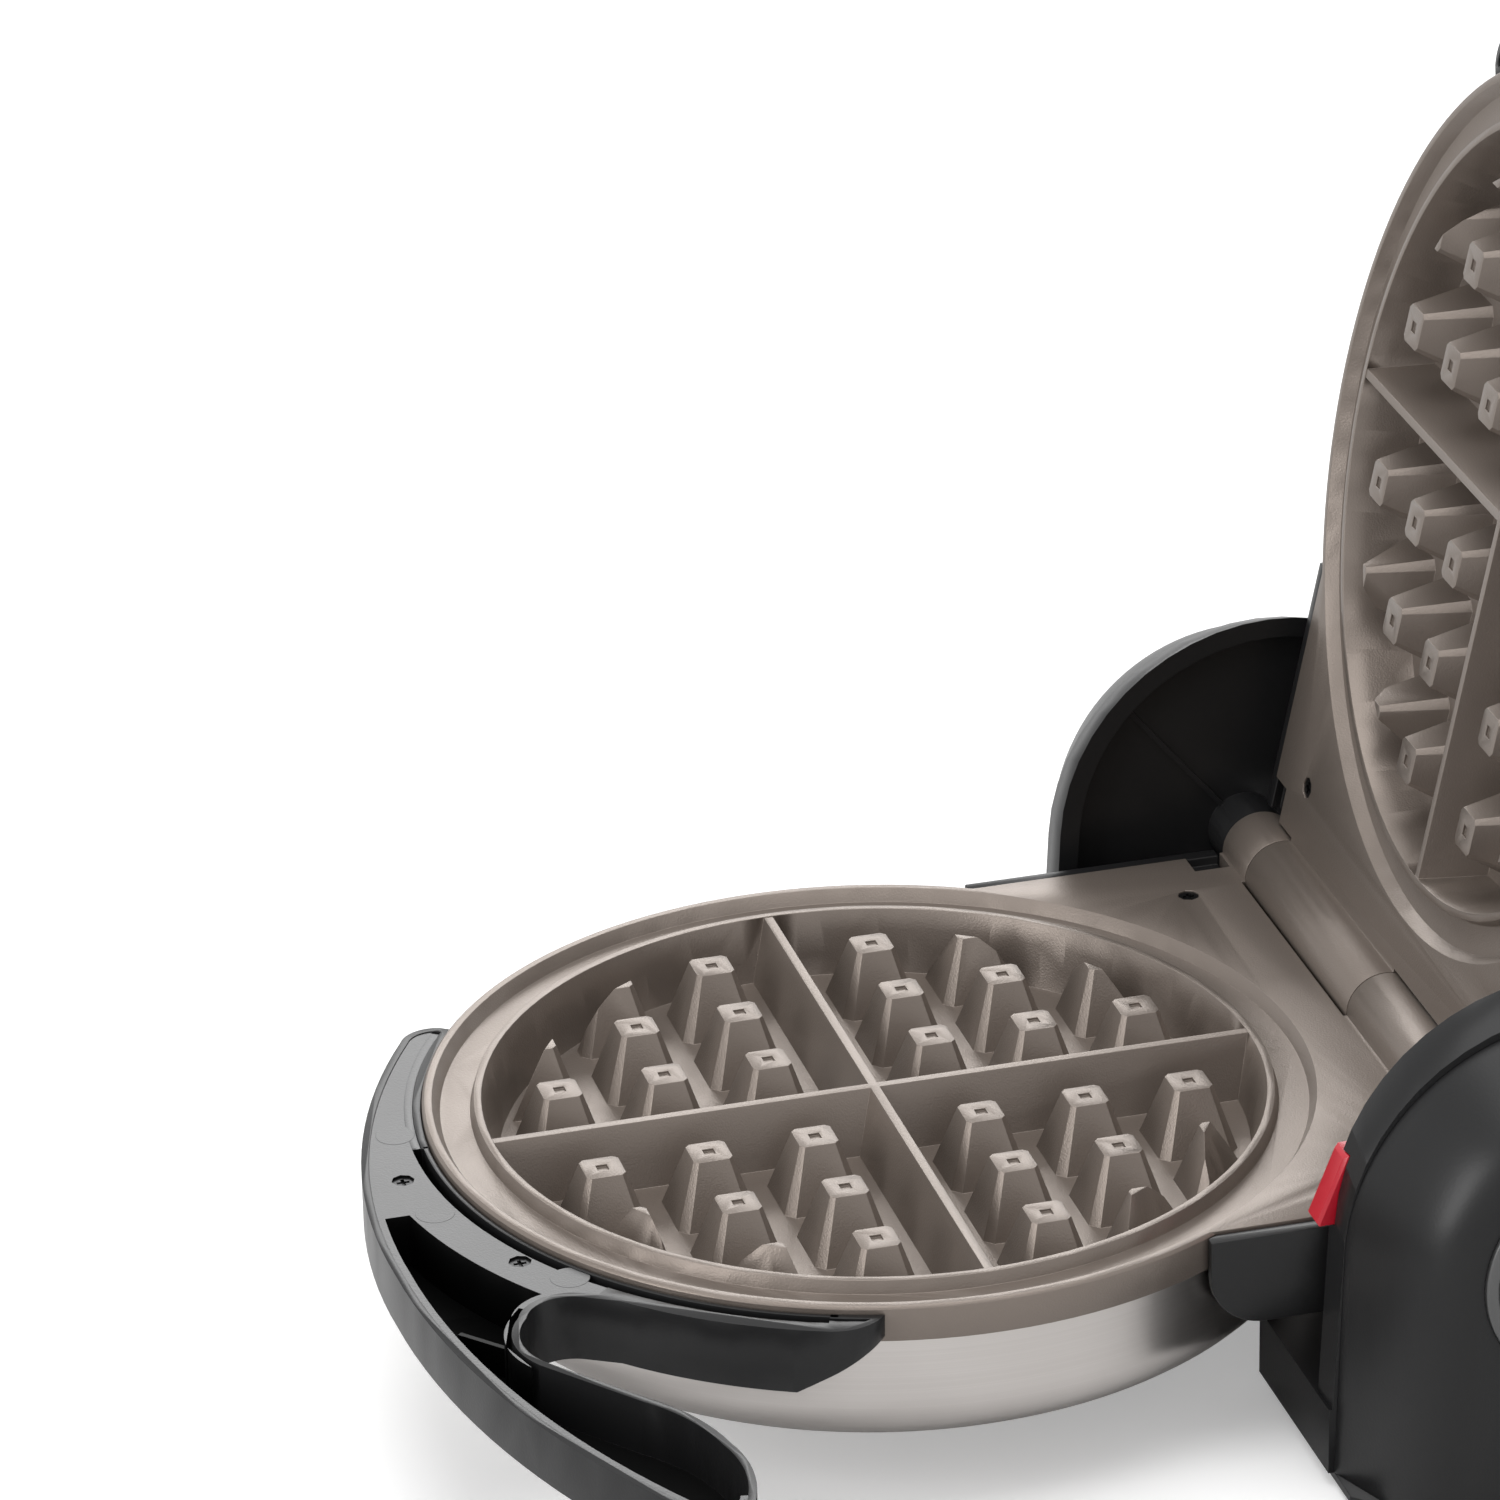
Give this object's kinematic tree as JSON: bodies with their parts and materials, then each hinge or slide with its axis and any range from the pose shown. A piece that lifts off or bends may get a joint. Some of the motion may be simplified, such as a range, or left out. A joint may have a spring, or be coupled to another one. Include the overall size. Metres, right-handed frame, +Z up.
{
  "type": "waffle_maker",
  "caption": "Flip-over round waffle maker: two deep gridded plates hinged on one shaft between round-topped pedestals, with a curved hook handle, shown open with its cover leaning back.",
  "frame": {"origin": "on the table, straight below the middle of the hinge axis", "axes": "X along the hinge, +X towards the side with the controls; Y across, the handle side is -Y; Z up"},
  "size_m": [0.3155, 0.3381, 0.3084],
  "materials": {
    "coated_aluminium": "satin ceramic coating with a faint sparkle",
    "stainless": "fine satin brushing round the shell",
    "black_plastic": "semi-gloss moulded",
    "satin_black_plastic": "fine satin grain",
    "gloss_black_plastic": "polished",
    "red_plastic": "semi-gloss moulded",
    "pale_plastic": "plain moulded",
    "amber_plastic": "clear moulded",
    "board_green": "lacquered board",
    "polished_trim": "polished ring",
    "zinc_steel": "plain zinc plated",
    "rubber": "matt"
  },
  "bodies": {
    "base": {"base_bridge": "black_plastic", "base_screws": "zinc_steel", "bottom_plate": "black_plastic", "circuit_board": "board_green", "control_bezel": "polished_trim", "control_face": "gloss_black_plastic", "cord_inlet": "rubber", "display_module": "pale_plastic", "display_window": "gloss_black_plastic", "hinge_shaft": "zinc_steel", "left_outer_cover": "black_plastic", "left_pedestal": "black_plastic", "ready_light": "amber_plastic", "right_outer_cover": "black_plastic", "right_pedestal": "black_plastic", "rubber_feet": "rubber", "shaft_clips": "zinc_steel"},
    "lower_unit": {"lower_grid_plate": "coated_aluminium", "lower_handle_pan": "black_plastic", "lower_handle_screws": "zinc_steel", "lower_handle_trim": "satin_black_plastic", "lower_heating_element": "zinc_steel", "lower_hinge_housing": "black_plastic", "lower_reflector": "zinc_steel", "lower_shell": "stainless", "lower_terminal_block": "pale_plastic", "lower_thermal_fuse": "pale_plastic", "lower_thermostat": "pale_plastic", "lower_tongue_screws": "zinc_steel"},
    "cover_unit": {"cover_grid_plate": "coated_aluminium", "cover_handle_pan": "black_plastic", "cover_handle_screws": "zinc_steel", "cover_handle_trim": "satin_black_plastic", "cover_heating_element": "zinc_steel", "cover_hinge_housing": "black_plastic", "cover_reflector": "zinc_steel", "cover_shell": "stainless", "cover_terminal_block": "pale_plastic", "cover_thermal_fuse": "pale_plastic", "cover_thermostat": "pale_plastic", "cover_tongue_screws": "zinc_steel"},
    "lock": {"lock_tab": "red_plastic"},
    "minus": {"minus_button": "satin_black_plastic"},
    "plus": {"plus_button": "satin_black_plastic"},
    "start": {"start_button": "satin_black_plastic"}
  },
  "joints": [
    {"name": "flip_hinge", "type": "hinge", "parent": "base", "child": "lower_unit", "pos_m": [0, 0, 0.06], "axis": [-1, 0, 0], "range_deg": [0, 90]},
    {"name": "cover_hinge", "type": "hinge", "parent": "base", "child": "cover_unit", "pos_m": [0, 0, 0.06], "axis": [-1, 0, 0], "range_deg": [-101.8, 0]},
    {"name": "lock_slide", "type": "slide", "parent": "base", "child": "lock", "axis": [0, 1, 0], "range_m": [0, 0.003], "stiffness_N_per_m": 400},
    {"name": "minus_press", "type": "slide", "parent": "base", "child": "minus", "axis": [-1, 0, 0], "range_m": [0, 0.001], "stiffness_N_per_m": 600},
    {"name": "plus_press", "type": "slide", "parent": "base", "child": "plus", "axis": [-1, 0, 0], "range_m": [0, 0.001], "stiffness_N_per_m": 600},
    {"name": "start_press", "type": "slide", "parent": "base", "child": "start", "axis": [-1, 0, 0], "range_m": [0, 0.001], "stiffness_N_per_m": 600}
  ]
}
